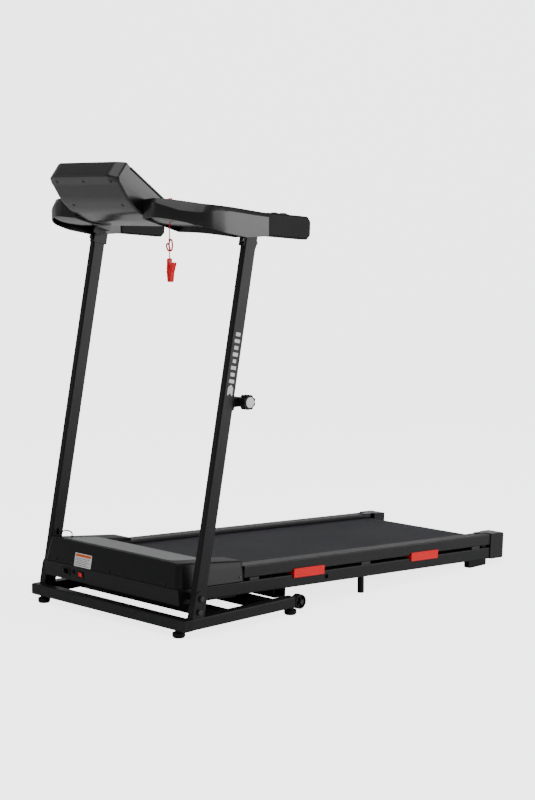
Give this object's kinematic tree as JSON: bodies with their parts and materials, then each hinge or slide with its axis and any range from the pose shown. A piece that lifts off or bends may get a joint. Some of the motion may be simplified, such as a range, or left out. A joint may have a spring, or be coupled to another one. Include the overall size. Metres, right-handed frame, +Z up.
{
  "type": "folding treadmill",
  "caption": "Folding home treadmill: motorised belt deck hinged at the foot of two leaning uprights, small console with two long arms and rubber grips, and a side lock that holds the deck up.",
  "frame": {"origin": "on the floor, under the middle of the whole machine at rest with the deck down", "axes": "+X is the walker's left, +Y runs from the console and motor hood to the rear end of the belt, +Z is up"},
  "size_m": [0.6679, 1.4495, 1.2157],
  "materials": {
    "belt": "woven-textured top",
    "black_plastic": "matt black",
    "black_rubber": "matt",
    "board": "waxed fibre board",
    "cap_plastic": "half-gloss black",
    "circuit": "green board with parts",
    "console_plastic": "fine-grained black",
    "dark_steel": "black oxide",
    "frame_paint": "satin black powder coat",
    "grey_plastic": "matt dark grey",
    "grip_rubber": "matt, soft to the hand",
    "hood_plastic": "fine-grained black",
    "keypad": "membrane, matt",
    "nylon": "natural nylon",
    "red_cord": "braided",
    "red_plastic": "gloss red",
    "red_rubber": "satin red",
    "roller_steel": "turned",
    "side_rail": "satin black with fine ribs",
    "silver": "silver lacquer",
    "spring_steel": "bright wire",
    "wheel_plastic": "matt black",
    "window": "dark smoked",
    "zinc_steel": "zinc plated"
  },
  "bodies": {
    "base": {"base_front_tube": "frame_paint", "base_side_tubes": "frame_paint", "base_cross_tubes": "frame_paint", "base_end_caps": "black_plastic", "base_feet": "black_rubber", "upright_left": "frame_paint", "upright_right": "frame_paint", "frame_bolts": "zinc_steel", "lock_bracket": "frame_paint", "console_back_shell": "console_plastic", "console_bezel": "console_plastic", "display_window": "window", "keypad_panel": "keypad", "console_board": "circuit", "console_screws": "dark_steel", "console_arms": "console_plastic", "console_frame": "frame_paint", "grips": "grip_rubber", "console_cable": "black_rubber", "cable_bridge": "black_rubber", "lock_spring": "spring_steel"},
    "deck": {"deck_rails": "frame_paint", "pivot_bushes": "nylon", "deck_cross_members": "frame_paint", "running_board": "board", "foot_rails": "side_rail", "shock_cushions": "red_rubber", "board_spacers": "grey_plastic", "deck_feet": "black_rubber", "roller_axles": "zinc_steel", "running_belt": "belt", "drive_belt": "black_rubber", "motor_can": "frame_paint", "motor_mount": "zinc_steel", "control_board": "circuit", "motor_hood": "hood_plastic", "hood_insert": "silver", "motor_pan": "hood_plastic", "switch_frames": "black_plastic", "inlet_socket": "black_plastic", "deck_screws": "dark_steel", "rear_caps": "cap_plastic"},
    "wheel_left": {"wheel_left": "wheel_plastic"},
    "wheel_right": {"wheel_right": "wheel_plastic"},
    "lock_pull": {"lock_pin": "zinc_steel", "lock_knob": "black_plastic"},
    "front_roller": {"front_roller": "roller_steel"},
    "rear_roller": {"rear_roller": "roller_steel"},
    "motor_rotor": {"motor_rotor": "roller_steel", "motor_pulley": "roller_steel"},
    "power_rocker": {"power_rocker": "red_plastic"},
    "breaker_button": {"breaker_button": "black_plastic"},
    "grip_key_left": {"grip_key_left": "grey_plastic"},
    "grip_key_right": {"grip_key_right": "grey_plastic"},
    "safety_key": {"safety_key": "red_plastic", "lanyard_cord": "red_cord", "lanyard_bow": "red_cord", "lanyard_tail": "red_cord", "clip_jaw_fixed": "red_plastic"},
    "clip_jaw": {"clip_jaw_moving": "red_plastic"}
  },
  "joints": [
    {"name": "deck_fold", "type": "hinge", "parent": "base", "child": "deck", "pos_m": [0, -0.59744, 0.1], "axis": [1, 0, 0], "range_deg": [0, 75.73], "deforming": ["cable_bridge"]},
    {"name": "wheel_left_spin", "type": "hinge", "parent": "base", "child": "wheel_left", "pos_m": [0.308, -0.228, 0.032], "axis": [1, 0, 0], "continuous": true},
    {"name": "wheel_right_spin", "type": "hinge", "parent": "base", "child": "wheel_right", "pos_m": [-0.308, -0.228, 0.032], "axis": [1, 0, 0], "continuous": true},
    {"name": "lock_pin_slide", "type": "slide", "parent": "base", "child": "lock_pull", "axis": [-1, 0, 0], "range_m": [0, 0.0065], "deforming": ["lock_spring"]},
    {"name": "front_roller_spin", "type": "hinge", "parent": "deck", "child": "front_roller", "pos_m": [0, -0.51124, 0.12052], "axis": [-1, 0, 0], "continuous": true},
    {"name": "rear_roller_spin", "type": "hinge", "parent": "deck", "child": "rear_roller", "pos_m": [0, 0.64517, 0.05991], "axis": [-1, 0, 0], "continuous": true},
    {"name": "motor_spin", "type": "hinge", "parent": "deck", "child": "motor_rotor", "pos_m": [0, -0.58798, 0.12754], "axis": [-1, 0, 0], "continuous": true},
    {"name": "power_rocker_tilt", "type": "hinge", "parent": "deck", "child": "power_rocker", "pos_m": [-0.121, -0.63764, 0.10216], "axis": [0, -0.0951, 0.9955], "range_deg": [0, 12]},
    {"name": "breaker_press", "type": "slide", "parent": "deck", "child": "breaker_button", "axis": [0, 0.9955, 0.0951], "range_m": [0, 0.0025], "stiffness_N_per_m": 800},
    {"name": "grip_key_left_rock", "type": "hinge", "parent": "base", "child": "grip_key_left", "pos_m": [0.2945, -0.29238, 1.07685], "axis": [1, 0, 0], "range_deg": [-3, 3], "stiffness_Nm_per_rad": 0.8},
    {"name": "grip_key_right_rock", "type": "hinge", "parent": "base", "child": "grip_key_right", "pos_m": [-0.2945, -0.29238, 1.07685], "axis": [1, 0, 0], "range_deg": [-3, 3], "stiffness_Nm_per_rad": 0.8},
    {"name": "safety_key_pull", "type": "slide", "parent": "base", "child": "safety_key", "axis": [0, 0.5789, 0.8154], "range_m": [0, 0.006]},
    {"name": "clip_jaw_open", "type": "hinge", "parent": "safety_key", "child": "clip_jaw", "pos_m": [0.1833, -0.575, 0.94], "axis": [0, -1, 0], "range_deg": [0, 12], "stiffness_Nm_per_rad": 0.3}
  ],
  "couplings": [
    {"joint": "rear_roller_spin", "follows": "front_roller_spin", "ratio": 1},
    {"joint": "motor_spin", "follows": "front_roller_spin", "ratio": 1.8271}
  ]
}
